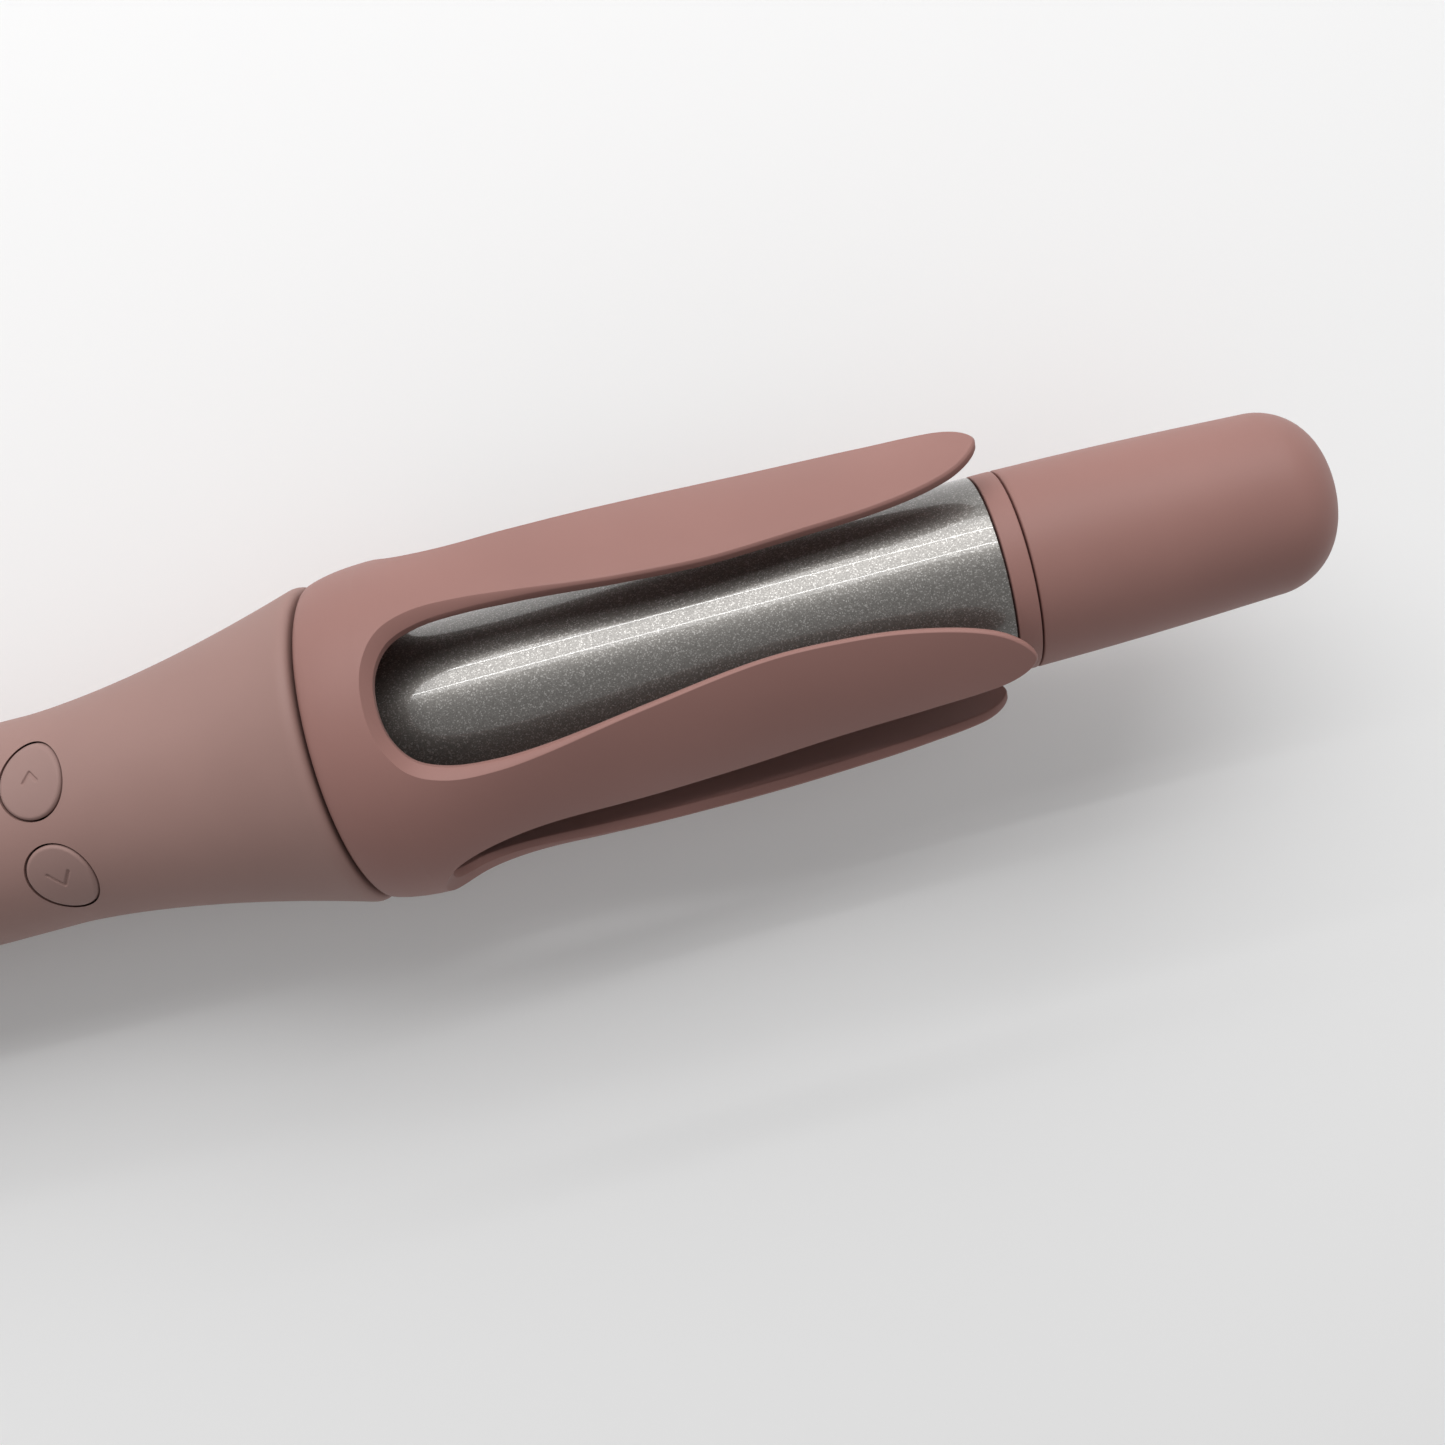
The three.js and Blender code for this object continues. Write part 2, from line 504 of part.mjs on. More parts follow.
function cageShell() {
  const edge = windowEdge(18);
  const columns = steps(-1, 1, 6);
  const quarter = Math.PI / PETALS;
  const fade = (x) => 1 - THREE.MathUtils.smoothstep(x, ...CHAMFER.fade);
  const mix = (a, b, x) => b + (a - b) * fade(x);
  const moved = (p, by) => {
    const half = quarter - (p.s + by * p.ns) / FLAT_RADIUS;
    return { x: p.x + by * p.nx, half: Math.max(0, half) };
  };
  const rows = { outer: [], inner: [] };
  for (const x of [0.3, 0.75, 1.6, 5]) rows.outer.push({ x, half: quarter, r: cageOuter(x) });
  for (const x of [0.3, 6]) rows.inner.push({ x, half: quarter, r: cageOuter(x) - cageWall(x) });
  const walls = { top: [], bottom: [] };
  edge.forEach((p) => {
    const outer = moved(p, mix(CHAMFER.root, CHAMFER.side, p.x));
    const inner = moved(p, CHAMFER.inner);
    const wall = moved(p, 0);
    rows.outer.push({ ...outer, r: cageOuter(outer.x) });
    rows.inner.push({ ...inner, r: cageOuter(inner.x) - cageWall(inner.x) });
    const depth = mix(CHAMFER.rootDepth, CHAMFER.sideDepth, p.x);
    walls.top.push({ ...wall, r: cageOuter(wall.x) - depth });
    walls.bottom.push({ ...wall, r: cageOuter(wall.x) - cageWall(wall.x) + CHAMFER.inner / 2 });
  });
  const corners = [];
  const quad = (a, b, c, d) => corners.push(a, b, c, a, c, d);
  for (let petal = 0; petal < PETALS; petal++) {
    const centre = rad(WINDOW_TURN + 45 + 90 * petal);
    const point = ({ x, half, r }, column) => {
      const turn = column * half;
      const angle = centre + rad(petalSweep(x)) + turn;
      const chord = Math.cos(half) / Math.cos(turn);
      const radius = r * (1 - eased(PETAL_FLAT, x) * (1 - chord)) * (1 + eased(PETAL_LEAN, x) * turn);
      return new THREE.Vector3(x, radius * Math.sin(angle), radius * Math.cos(angle));
    };
    const strip = (a, b, c0, c1) => quad(point(a, c0), point(a, c1), point(b, c1), point(b, c0));
    const sheet = (list, from, to) => {
      for (let i = 0; i + 1 < list.length; i++)
        for (let j = 0; j + 1 < columns.length; j++)
          from < to
            ? strip(list[i], list[i + 1], columns[j], columns[j + 1])
            : strip(list[i], list[i + 1], columns[j + 1], columns[j]);
    };
    sheet(rows.outer, 0, 1);
    sheet(rows.inner, 1, 0);
    for (let j = 0; j + 1 < columns.length; j++)
      strip(rows.inner[0], rows.outer[0], columns[j], columns[j + 1]);
    const outerEdge = rows.outer.slice(-edge.length);
    const innerEdge = rows.inner.slice(-edge.length);
    const layers = [outerEdge, walls.top, walls.bottom, innerEdge];
    for (let layer = 0; layer < 3; layer++)
      for (let i = 0; i + 1 < edge.length; i++)
        for (const side of [-1, 1]) {
          const pair = [layers[layer], layers[layer + 1]];
          const [a, b] = side > 0 ? pair : pair.reverse();
          quad(point(a[i], side), point(b[i], side), point(b[i + 1], side), point(a[i + 1], side));
        }
  }
  return solidOf(new THREE.BufferGeometry().setFromPoints(corners));
}

function petalCage() {
  const floor = ring(RIM.start + 0.05, RIM.floorFront, RIM.floorInner, 23.4, 64);
  const holes = HUB_SCREWS.map(([y, z]) => rodX(0.95, -2, 2.5, y, z, 10));
  return cut(union(cageShell(), floor), ...holes);
}

// ---- assembly ----
const device = new THREE.Group();
function place(name, solid, material) {
  const mesh = new THREE.Mesh(geometryOf(solid), MATERIALS[material]());
  mesh.name = name;
  device.add(mesh);
}

place("handle_upper_shell", upperShell(), "handle_plastic");
place("handle_lower_shell", lowerShell(), "handle_plastic");
place("end_cap", endCap(), "handle_plastic");
place("swivel_gland", swivelGland(), "black_plastic");
place("gland_retainer", glandRetainer(), "acetal");
place("slip_ring_live", slipRing(-148.5), "brass");
place("slip_ring_neutral", slipRing(-153.5), "brass");
place("contact_spring_live", contactSpring(-148.5, 3.2), "brass");
place("contact_spring_neutral", contactSpring(-153.5, -3.2), "brass");
for (const [name, button] of Object.entries(BUTTONS)) {
  const onFlare = name === "left_button" || name === "right_button";
  place(name, buttonCap(button, onFlare ? 0.25 : 0.15), onFlare ? "button_rubber" : "handle_plastic");
  place("switch_" + name.replace("_button", ""), tactSwitch(button), "black_plastic");
}
place("display_lens", displayLens(), "display_glass");
place("display_module", block(-91, -73, -4.4, 4.4, BOARD.high + GAP, 14.1), "black_plastic");
place("control_board", controlBoard(), "board");
BOARD_SCREWS.forEach((x, i) => {
  place(`board_screw_${i + 1}`, screwZ(0.7, 1.6, 6.3, 13.6, x, 0), "steel");
});
eachCaseScrew((x, y) => screwZ(CASE_SCREWS.shank, CASE_SCREWS.head, -11.1, 5.5, x, y)).forEach((screw, i) => {
  place(`case_screw_${i + 1}`, screw, "steel");
});
place("gear_plate", gearPlate(), "acetal");
place("motor_gearbox", gearbox(), "steel");
place("drive_motor", driveMotor(), "steel");
MOTOR_SCREWS.forEach((y, i) => {
  place(`motor_screw_${i + 1}`, screwX(0.75, 1.4, -12.9, -22, y, -DRIVE_OFFSET), "steel");
});
place("drive_pinion", drivePinion(), "brass");
place("spindle_tube", spindleTube(), "steel");
place("spindle_nut", spindleNut(), "steel");
place("thrust_washer", thrustWasher(), "steel");
place("retaining_clip", retainingClip(), "steel");
place("barrel_base", barrelBase(), "insulator");
place("barrel", barrel(), "barrel_coating");
place("heater_carrier_left", heaterCarrier(1), "aluminium");
place("heater_carrier_right", heaterCarrier(-1), "aluminium");
place("heater_plate", heaterPlate(), "insulator");
place("thermistor", thermistor(), "insulator");
place("heater_lead_live", heaterLead(1), "lead_sleeve");
place("heater_lead_neutral", heaterLead(-1), "lead_sleeve");
place("tip_plug", tipPlug(), "insulator");
place("tip_collar", tipCollar(), "cage_plastic");
place("cool_tip", coolTip(), "cage_plastic");
place("petal_cage", petalCage(), "cage_plastic");
place("cage_hub", cageHub(), "acetal");
place("hub_bush", hubBush(), "brass");
HUB_SCREWS.forEach(([y, z], i) => {
  place(`hub_screw_${i + 1}`, screwX(0.7, 1.5, -4.2, 2.3, y, z), "steel");
});

// The device rests on the widest part of the cage's ring and on the heel of the handle.
device.rotation.y = -Math.asin((RIM.radius - HANDLE.waist) / (RIM.widest - HANDLE.heel));
const box = new THREE.Box3().setFromObject(device, true);
const middle = box.getCenter(new THREE.Vector3());
device.position.set(-middle.x, -middle.y, -box.min.z);

const curlingIron = new THREE.Group();
curlingIron.add(device);
export default curlingIron;
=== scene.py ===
"""Looks of the automatic curling iron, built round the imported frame. Lengths inside are millimetres
in the device frame (x along the barrel from the cage's rear edge to the tip, z the button side),
and every point goes through to_row(), which puts it in the row frame in metres."""
import json
import math

import bmesh
import bpy
import numpy as np
from mathutils import Matrix, Vector


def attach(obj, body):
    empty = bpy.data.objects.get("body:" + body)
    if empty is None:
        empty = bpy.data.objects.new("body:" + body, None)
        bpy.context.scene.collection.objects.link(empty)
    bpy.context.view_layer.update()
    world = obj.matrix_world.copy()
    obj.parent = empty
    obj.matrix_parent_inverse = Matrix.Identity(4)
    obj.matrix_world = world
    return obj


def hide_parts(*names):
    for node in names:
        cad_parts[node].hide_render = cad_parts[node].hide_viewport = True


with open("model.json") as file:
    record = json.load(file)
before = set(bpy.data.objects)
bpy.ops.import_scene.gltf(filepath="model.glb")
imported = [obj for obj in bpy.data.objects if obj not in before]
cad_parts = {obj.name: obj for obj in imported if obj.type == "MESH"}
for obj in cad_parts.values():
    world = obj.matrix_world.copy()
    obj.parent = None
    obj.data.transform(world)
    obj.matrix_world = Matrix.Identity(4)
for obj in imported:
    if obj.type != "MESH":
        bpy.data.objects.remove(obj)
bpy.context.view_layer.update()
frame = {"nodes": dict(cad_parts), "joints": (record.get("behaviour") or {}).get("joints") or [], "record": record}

# ---- device frame ----
JOINTS = {j["name"]: j for j in frame["joints"]}
MM = 0.001
AXIS = Vector(JOINTS["cage_turn"]["axis"]).normalized()
UP = -Vector(JOINTS["left_press"]["axis"]).normalized()
SIDE = UP.cross(AXIS)
ORIGIN = Vector(JOINTS["cage_turn"]["pos_m"])
BASIS = np.array([AXIS, SIDE, UP])

# ---- driving dimensions, as in the CAD part ----
WAIST, FLARE, FLARE_START, HEEL, SWELL, WALL = 17.4, 9.2, -50.0, -163.0, 0.3, 2.2
LIP_RADIUS, LIP_START, LIP_END, LIP_BORE = 26.0, -2.6, -0.3, 22.8
BARREL_RADIUS, BARREL_START, BARREL_END = 16.0, 4.8, 105.2
COLLAR_START, COLLAR_END, TIP_START, TIP_END = 105.5, 109.0, 109.3, 158.8
TIP_RADIUS, TIP_ROUND = 14.6, 9.8
CAP_END, CAP_ROUND, CAP_BORE = -168.0, 2.4, 9.4
PETALS, WINDOW_TURN, FLAT_RADIUS = 4, 13.9, 25.0
SEAM = 0.15
BUTTON_GAP, BUTTON_UNDER = 0.3, 15.6  # gap round a button, and the radius of its underside
STEM_RADIUS, STEM_END = 1.4, 12.4
SCREW_X, SCREW_Y, SCREW_BORE, SCREW_BOSS, SCREW_SEAT = (-66, -138), 11.1, 2.2, 3.2, -9.4
SCREW_SHANK, SEAT_DEPTH = 1.05, 0.8


def to_row(points):
    return np.array(ORIGIN) + np.asarray(points, float) * MM @ BASIS


def polar(x, radius, angle):
    """A point at that radius, with the angle from +Z towards +Y."""
    return np.stack(np.broadcast_arrays(x, radius * np.sin(angle), radius * np.cos(angle)), -1)


def handle_radius(x):
    x = np.asarray(x, float)
    flare = WAIST + FLARE * np.clip(1 - x / FLARE_START, 0, None) ** 1.6
    along = (FLARE_START - x) / (FLARE_START - HEEL)
    return np.where(x > FLARE_START, flare, WAIST + SWELL * np.sin(np.pi * along))


def through(points):
    """A smooth curve y(x) through [x, y] points."""
    xs, ys = np.array(points, float).T
    ends = np.clip(np.arange(len(xs))[:, None] + [-1, 1], 0, len(xs) - 1)
    slopes = (ys[ends[:, 1]] - ys[ends[:, 0]]) / (xs[ends[:, 1]] - xs[ends[:, 0]])

    def curve(x):
        x = np.asarray(x, float)
        i = np.clip(np.searchsorted(xs, x, side="right") - 1, 0, len(xs) - 2)
        w = xs[i + 1] - xs[i]
        t = np.clip((x - xs[i]) / w, 0, 1)
        near = (2 * t**3 - 3 * t**2 + 1) * ys[i] + (t**3 - 2 * t**2 + t) * w * slopes[i]
        return near + (3 * t**2 - 2 * t**3) * ys[i + 1] + (t**3 - t**2) * w * slopes[i + 1]

    return curve


# ---- mesh helpers ----
def add_piece(name, points, faces, body, slot, material, nodes=(), sharp=35):
    """A mesh piece in the row frame that rides on a body and stands for CAD nodes."""
    mesh = bpy.data.meshes.new(name)
    mesh.from_pydata([tuple(p) for p in to_row(points)], [], [tuple(map(int, f)) for f in faces])
    piece = bpy.data.objects.new(name, mesh)
    bpy.context.scene.collection.objects.link(piece)
    clean(mesh)
    mesh.shade_smooth()
    mesh.set_sharp_from_angle(angle=math.radians(sharp))
    mesh.materials.append(material)
    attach(piece, body)
    if nodes:
        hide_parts(*nodes)
    return piece


def clean(mesh):
    """Merges doubled points, drops faces with no area and turns every face outwards."""
    bm = bmesh.new()
    bm.from_mesh(mesh)
    bmesh.ops.remove_doubles(bm, verts=bm.verts, dist=2e-6)
    bmesh.ops.dissolve_degenerate(bm, edges=bm.edges, dist=1e-6)
    bmesh.ops.recalc_face_normals(bm, faces=bm.faces)
    bm.to_mesh(mesh)
    bm.free()


def soften(piece, width, segments=3, angle=40):
    """Rounds the piece's sharp edges by width millimetres."""
    bevel = piece.modifiers.new("edge_round", "BEVEL")
    bevel.width = width * MM
    bevel.segments = segments
    bevel.limit_method = "ANGLE"
    bevel.angle_limit = math.radians(angle)
    bevel.harden_normals = True
    bevel.use_clamp_overlap = True
    return piece


def grid_faces(rows, columns, closed_rows=False, closed_columns=False, start=0):
    """Quads of a grid of points listed row by row."""
    faces = []
    for i in range(rows if closed_rows else rows - 1):
        for j in range(columns if closed_columns else columns - 1):
            a, b = start + i * columns, start + (i + 1) % rows * columns
            k = (j + 1) % columns
            faces.append((a + j, a + k, b + k, b + j))
    return faces


def turned(outline, segments=192):
    """Points and faces of a closed [x, radius] outline turned about the axis."""
    outline = np.array(outline, float)
    angles = np.linspace(0, 2 * np.pi, segments, endpoint=False)
    points = polar(outline[:, :1], outline[:, 1:], angles[None, :]).reshape(-1, 3)
    return points, grid_faces(len(outline), segments, closed_rows=True, closed_columns=True)


def arc(centre, radius, start, end, count=8):
    """Points of an arc in the [x, radius] plane; degrees from +x towards +radius."""
    angles = np.radians(np.linspace(start, end, count + 1))
    return [(centre[0] + radius * math.cos(a), centre[1] + radius * math.sin(a)) for a in angles]


def line(a, b, count):
    return [tuple(p) for p in np.linspace(a, b, count + 1)]


# ---- surface with holes ----
def sheet_with_holes(s_lines, t_lines, holes, rings=5):
    """A grid over (s, t) whose rectangles round each hole are filled with rings of quads that run
    from the rectangle to the hole's outline. Gives points, faces, and each point's nearness to a
    hole, from 0 on the rectangle to 1 on the outline."""
    points, near, index, faces = [], [], {}, []

    def point(p, closeness=0.0):
        points.append(p)
        near.append(closeness)
        return len(points) - 1

    def node(i, j):
        if (i, j) not in index:
            index[i, j] = point((s_lines[i], t_lines[j]))
        return index[i, j]

    spans = []
    for hole in holes:
        i0, i1 = (int(np.argmin(abs(s_lines - v))) for v in hole["s"])
        j0, j1 = (int(np.argmin(abs(t_lines - v))) for v in hole["t"])
        spans.append((i0, i1, j0, j1))
    for i in range(len(s_lines) - 1):
        for j in range(len(t_lines) - 1):
            if not any(a <= i < b and c <= j < d for a, b, c, d in spans):
                faces.append((node(i, j), node(i + 1, j), node(i + 1, j + 1), node(i, j + 1)))
    for hole, (i0, i1, j0, j1) in zip(holes, spans):
        border = [(i, j0) for i in range(i0, i1)] + [(i1, j) for j in range(j0, j1)]
        border += [(i, j1) for i in range(i1, i0, -1)] + [(i0, j) for j in range(j1, j0, -1)]
        previous = [node(i, j) for i, j in border]
        outer = np.array([points[k] for k in previous])
        inner = np.array([hole["outline"](p) for p in outer])
        for ring in range(1, rings + 1):
            share = (ring / rings) ** 0.8
            loop = [point(tuple(p), share) for p in outer + (inner - outer) * share]
            for k in range(len(loop)):
                after = (k + 1) % len(loop)
                faces.append((previous[k], previous[after], loop[after], loop[k]))
            previous = loop
    return np.array(points), faces, np.array(near)


def border_loops(faces):
    """Directed edges that only one face uses."""
    edges = {(f[k], f[(k + 1) % len(f)]) for f in faces for k in range(len(f))}
    return [(a, b) for a, b in edges if (b, a) not in edges]


def thickened(outer, inner, faces):
    """A closed skin: the outer points, the inner points facing back, and walls along every border."""
    count = len(outer)
    walls = [(b, a, a + count, b + count) for a, b in border_loops(faces)]
    back = [tuple(k + count for k in reversed(f)) for f in faces]
    return np.concatenate([outer, inner]), list(faces) + back + walls


# ---- handle ----
LIP = np.array([
    *((s, float(handle_radius(s))) for s in np.linspace(-6, LIP_START, 6)),
    (-2.0, 25.98), (-1.5, LIP_RADIUS), (-1.05, 25.92), (-0.7, 25.72), (-0.45, 25.42), (LIP_END, 25.0),
])


def handle_outer(s):
    """[x, radius] of the outside at run s, which is x as far as the lip and counts its points there."""
    run = -6 + np.arange(len(LIP)) * 0.6
    x = np.where(s < -6, s, np.interp(s, run, LIP[:, 0]))
    radius = np.where(s < -6, handle_radius(s), np.interp(s, run, LIP[:, 1]))
    return x, radius


LIP_RUN_END = -6 + 0.6 * (len(LIP) - 1)


def handle_inner(s):
    x, radius = handle_outer(s)
    share = np.clip((s + 6) / (LIP_RUN_END + 6), 0, 1)
    return x * (1 - share) + LIP_END * share, (radius - WALL) * (1 - share) + LIP_BORE * share


def plan_outline(centre, reach):
    """Outline for a hole that is drawn in plan: reach(direction) is the distance from its centre."""

    def outline(p):
        s, t = p
        radius = float(handle_radius(centre[0]))
        middle = math.asin(centre[1] / radius)
        direction = math.atan2((t - middle) * radius, s - centre[0])
        distance = reach(direction)
        x = centre[0] + distance * math.cos(direction)
        y = centre[1] + distance * math.sin(direction)
        return x, math.asin(y / float(handle_radius(x)))

    return outline


def oval_reach(rx, ry):
    return lambda a: rx * ry / math.hypot(ry * math.cos(a), rx * math.sin(a))


def pill_reach(half_length, half_width):
    """Distance to a pill's outline along the direction, worked out in closed form from its flat side or its round
    end.
    """

    def reach(a):
        c, s = abs(math.cos(a)), abs(math.sin(a))
        flat = half_length - half_width
        if s > 1e-9 and half_width / s * c <= flat:
            return half_width / s
        return c * flat + math.sqrt(max(0.0, half_width**2 - (s * flat) ** 2))

    return reach


BUTTONS = {
    "left_button": {"centre": (-44.5, 7.55), "size": (5.05, 5.5), "body": "left_key", "proud": 0.25},
    "right_button": {"centre": (-44.5, -7.55), "size": (5.05, 5.5), "body": "right_key", "proud": 0.25},
    "temp_up_button": {"centre": (-98, 0), "size": (3.6, 3.6), "body": "temp_up_key", "proud": 0.15},
    "temp_down_button": {"centre": (-108, 0), "size": (3.6, 3.6), "body": "temp_down_key", "proud": 0.15},
    "power_button": {"centre": (-119, 0), "size": (4.2, 4.2), "body": "power_key", "proud": 0.15},
}
LENS = {"centre": (-82, 0), "half_length": 9, "half_width": 4.6, "gap": 0.2}


def shell_holes():
    """The openings of the upper shell. Each span of angle ends on a line of the shell's grid."""

    def hole(centre, reach, half_s, t):
        return {"s": (centre[0] - half_s, centre[0] + half_s), "t": t, "outline": plan_outline(centre, reach)}

    def button_hole(name, half_s, t):
        along, across = BUTTONS[name]["size"]
        return hole(BUTTONS[name]["centre"], oval_reach(along + BUTTON_GAP, across + BUTTON_GAP), half_s, t)

    wide = math.radians(64.6875)
    near = math.radians(22.5)
    lens_reach = pill_reach(LENS["half_length"] + LENS["gap"], LENS["half_width"] + LENS["gap"])
    small = ("temp_up_button", "temp_down_button", "power_button")
    return [
        button_hole("left_button", 7.5, (0, wide)),
        button_hole("right_button", 7.5, (-wide, 0)),
        hole(LENS["centre"], lens_reach, 11, (-near, near)),
        *(button_hole(name, 5, (-near, near)) for name in small),
    ]


def screw_holes():
    """Round openings for the case screws in the lower shell."""
    t = (math.radians(25.3125), math.radians(53.4375))
    holes = []
    for x in SCREW_X:
        for side, band in ((1, t), (-1, (-t[1], -t[0]))):
            outline = plan_outline((x, side * SCREW_Y), oval_reach(SCREW_BORE, SCREW_BORE))
            holes.append({"s": (x - 4, x + 4), "t": band, "outline": outline})
    return holes


def screw_well(x, y, segments=48):
    """The boss behind a screw opening: a tube whose rim lies inside the shell's wall, with a seat."""
    turn = np.linspace(0, 2 * np.pi, segments, endpoint=False)
    seat, back = SCREW_SEAT, SCREW_SEAT + SEAT_DEPTH
    section = [
        (SCREW_BORE, None), (SCREW_BORE, seat), (SCREW_SHANK, seat),
        (SCREW_SHANK, back), (SCREW_BOSS, back), (SCREW_BOSS, None),
    ]
    rows = []
    for radius, z in section:
        at = y + radius * np.sin(turn)
        rim = -np.sqrt(np.clip((WAIST - 1.1) ** 2 - at**2, 0, None))
        height = np.minimum(rim, seat - 0.1) if z is None else np.full(segments, z)
        rows.append(np.stack([x + radius * np.cos(turn), at, height], 1))
    return np.concatenate(rows), grid_faces(len(rows), segments, closed_rows=True, closed_columns=True)


def joined(parts):
    """Several (points, faces) shells as one."""
    points, faces = [], []
    for part_points, part_faces in parts:
        start = sum(len(p) for p in points)
        points.append(part_points)
        faces += [tuple(start + k for k in f) for f in part_faces]
    return np.concatenate(points), faces


def shell(name, side, holes, material):
    s_lines = np.concatenate([
        np.linspace(HEEL, -143, 11)[:-1], np.arange(-143, -36, 1.0), np.linspace(-36, -6, 22)[:-1],
        np.linspace(-6, LIP_RUN_END, len(LIP)),
    ])
    edge = math.pi / 2
    t_lines = np.linspace(-edge, edge, 65)
    flat, faces, near = sheet_with_holes(s_lines, t_lines, holes)
    s, t = flat.T

    def placed(profile):
        x, radius = profile(s)
        upright = np.arcsin(np.clip(handle_outer(s)[1] * np.sin(t) / radius, -1, 1))
        angle = t + (upright - t) * np.where(near > 0, near, 0)
        limit = edge - SEAM / radius
        return polar(x, radius, np.clip(angle, -limit, limit))

    points, skin = thickened(placed(handle_outer), placed(handle_inner), faces)
    if side < 0:
        wells = [screw_well(x, y) for x in SCREW_X for y in (SCREW_Y, -SCREW_Y)]
        points, skin = joined([(points * [1, -1, -1], skin), *wells])
    piece = add_piece(name, points, skin, "handle", "handle_plastic", material, [name], sharp=50)
    return soften(piece, 0.28, 3, 55)


def button_stem(x, y, segments=32):
    """The rod under a button that reaches down to its switch; its top lies inside the cap."""
    turn = np.linspace(0, 2 * np.pi, segments, endpoint=False)
    ring = np.stack([x + STEM_RADIUS * np.cos(turn), y + STEM_RADIUS * np.sin(turn)], 1)
    top = math.sqrt(BUTTON_UNDER**2 - y**2) + 0.6
    points = np.concatenate([np.column_stack([ring, np.full(segments, z)]) for z in (STEM_END, top)])
    ends = [tuple(reversed(range(segments))), tuple(range(segments, 2 * segments))]
    return points, grid_faces(2, segments, closed_columns=True) + ends


def button(name, spec, material, mark):
    """A cap that follows the handle's surface, softly crowned, with an engraved mark."""
    (cx, cy), (rx, ry) = spec["centre"], spec["size"]
    rings, spokes = 56, 144
    share = np.linspace(0, 1, rings + 1)[1:]
    angle = np.linspace(0, 2 * np.pi, spokes, endpoint=False)
    x = cx + rx * share[:, None] * np.cos(angle)
    y = cy + ry * share[:, None] * np.sin(angle)
    x = np.concatenate([[cx], x.ravel()])
    y = np.concatenate([[cy], y.ravel()])
    part = np.concatenate([[0.0], np.repeat(share, spokes)])
    edge_drop = 0.45 * np.clip((part - 0.88) / 0.12, 0, 1) ** 2.2
    radius = handle_radius(x) + spec["proud"] - edge_drop
    across = np.arcsin(np.clip(cy / float(handle_radius(cx)), -1, 1))
    run = handle_radius(cx) * (np.arcsin(y / radius) - across)
    radius = radius - 0.28 * mark(x - cx, run)
    z = np.sqrt(radius**2 - y**2)
    top = np.stack([x, y, z], 1)
    faces = [(0, 1 + k, 1 + (k + 1) % spokes) for k in range(spokes)]
    faces += grid_faces(rings, spokes, closed_columns=True, start=1)
    rim = 1 + (rings - 1) * spokes
    under = top[rim:].copy()
    under[:, 2] = np.sqrt(BUTTON_UNDER**2 - under[:, 1] ** 2)
    points = np.concatenate([top, under, [[cx, cy, math.sqrt(BUTTON_UNDER**2 - cy**2)]]])
    base, centre = len(top), len(points) - 1
    for k in range(spokes):
        after = (k + 1) % spokes
        faces.append((rim + k, rim + after, base + after, base + k))
        faces.append((base + k, base + after, centre))
    points, faces = joined([(points, faces), button_stem(cx, cy)])
    return add_piece(name, points, faces, spec["body"], material[1], material[0], [name], sharp=50)


def stroke(points, half_width=0.33, soft=0.16):
    """Depth from 0 to 1 of a groove along a chain of [along, across] points."""
    points = np.array(points, float)

    def depth(u, v):
        best = np.full(np.shape(u), 1e9)
        for a, b in zip(points[:-1], points[1:]):
            d = b - a
            t = np.clip(((u - a[0]) * d[0] + (v - a[1]) * d[1]) / (d @ d), 0, 1)
            best = np.minimum(best, np.hypot(u - a[0] - t * d[0], v - a[1] - t * d[1]))
        return 1 - np.clip((best - half_width + soft) / (2 * soft), 0, 1)

    return depth


def chevron(half_length, foot, apex):
    """An open V across the button: its feet and its apex are given by how far round the handle they lie."""
    return stroke([(-half_length, foot), (0, apex), (half_length, foot)], 0.2, 0.12)


def plus_mark(u, v):
    return np.maximum(stroke([(-1.2, 0), (1.2, 0)], 0.25)(u, v), stroke([(0, -1.2), (0, 1.2)], 0.25)(u, v))


def minus_mark(u, v):
    return stroke([(0, -1.2), (0, 1.2)], 0.25)(u, v)


def power_mark(u, v):
    turn = np.radians(np.linspace(40, 320, 25))
    ring = stroke(np.stack([1.5 * np.cos(turn), 1.5 * np.sin(turn)], 1), 0.24)(u, v)
    return np.maximum(ring, stroke([(0.5, 0), (2.0, 0)], 0.24)(u, v))


def display_lens(material):
    (cx, _), a, b = LENS["centre"], LENS["half_length"], LENS["half_width"]
    reach = pill_reach(a, b)
    spokes, rings = 96, 10
    angle = np.linspace(0, 2 * np.pi, spokes, endpoint=False)
    far = np.array([reach(v) for v in angle])
    share = np.linspace(0, 1, rings + 1)[1:]
    x = np.concatenate([[cx], (cx + share[:, None] * far * np.cos(angle)).ravel()])
    y = np.concatenate([[0], (share[:, None] * far * np.sin(angle)).ravel()])
    top = np.stack([x, y, np.sqrt((handle_radius(x) - 0.12) ** 2 - y**2)], 1)
    faces = [(0, 1 + (k + 1) % spokes, 1 + k) for k in range(spokes)]
    faces += grid_faces(rings, spokes, closed_columns=True, start=1)
    under = np.stack([x, y, np.sqrt(15.7**2 - y**2)], 1)
    points, skin = thickened(top, under, faces)
    piece = add_piece("display_lens", points, skin, "handle", "display_glass", material, ["display_lens"])
    return soften(piece, 0.15, 2)


